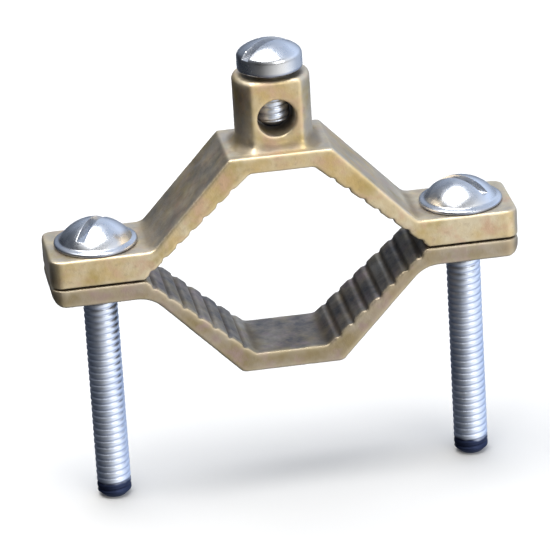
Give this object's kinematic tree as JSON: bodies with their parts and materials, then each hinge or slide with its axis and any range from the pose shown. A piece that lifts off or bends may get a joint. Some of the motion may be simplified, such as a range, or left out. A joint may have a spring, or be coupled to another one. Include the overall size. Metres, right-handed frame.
{
  "type": "ground clamp",
  "caption": "Cast bronze pipe ground clamp with two serrated V jaws drawn together by slotted jaw screws, and a wire lug with a binding screw.",
  "frame": {"origin": "centre of the pipe passage, on the plane where the closed jaws meet, half-way along the jaws", "axes": "+Y along the pipe, +X towards the right ear, +Z towards the wire lug"},
  "size_m": [0.0868, 0.016, 0.0863],
  "materials": {
    "bronze": "sand-cast, tumbled",
    "plated_steel": "bright zinc"
  },
  "bodies": {
    "upper_jaw": {"upper_jaw": "bronze"},
    "lower_jaw": {"lower_jaw": "bronze"},
    "jaw_screw_left": {"jaw_screw_left": "plated_steel"},
    "jaw_screw_right": {"jaw_screw_right": "plated_steel"},
    "binding_screw": {"binding_screw": "plated_steel"}
  },
  "joints": [
    {"name": "jaw_opening", "type": "slide", "parent": "upper_jaw", "child": "lower_jaw", "axis": [0, 0, -1], "range_m": [0, 0.03556]},
    {"name": "left_screw_turn", "type": "hinge", "parent": "upper_jaw", "child": "jaw_screw_left", "pos_m": [-0.034, 0, 0], "axis": [0, 0, 1], "range_deg": [0, 10080]},
    {"name": "right_screw_turn", "type": "hinge", "parent": "upper_jaw", "child": "jaw_screw_right", "pos_m": [0.034, 0, 0], "axis": [0, 0, 1], "range_deg": [0, 10080]},
    {"name": "binding_screw_lift", "type": "slide", "parent": "upper_jaw", "child": "binding_screw", "axis": [0, 0, 1], "range_m": [0, 0.00762]}
  ],
  "couplings": [
    {"joint": "left_screw_turn", "follows": "jaw_opening", "rad_per_m": 4947.4},
    {"joint": "right_screw_turn", "follows": "jaw_opening", "rad_per_m": 4947.4}
  ]
}
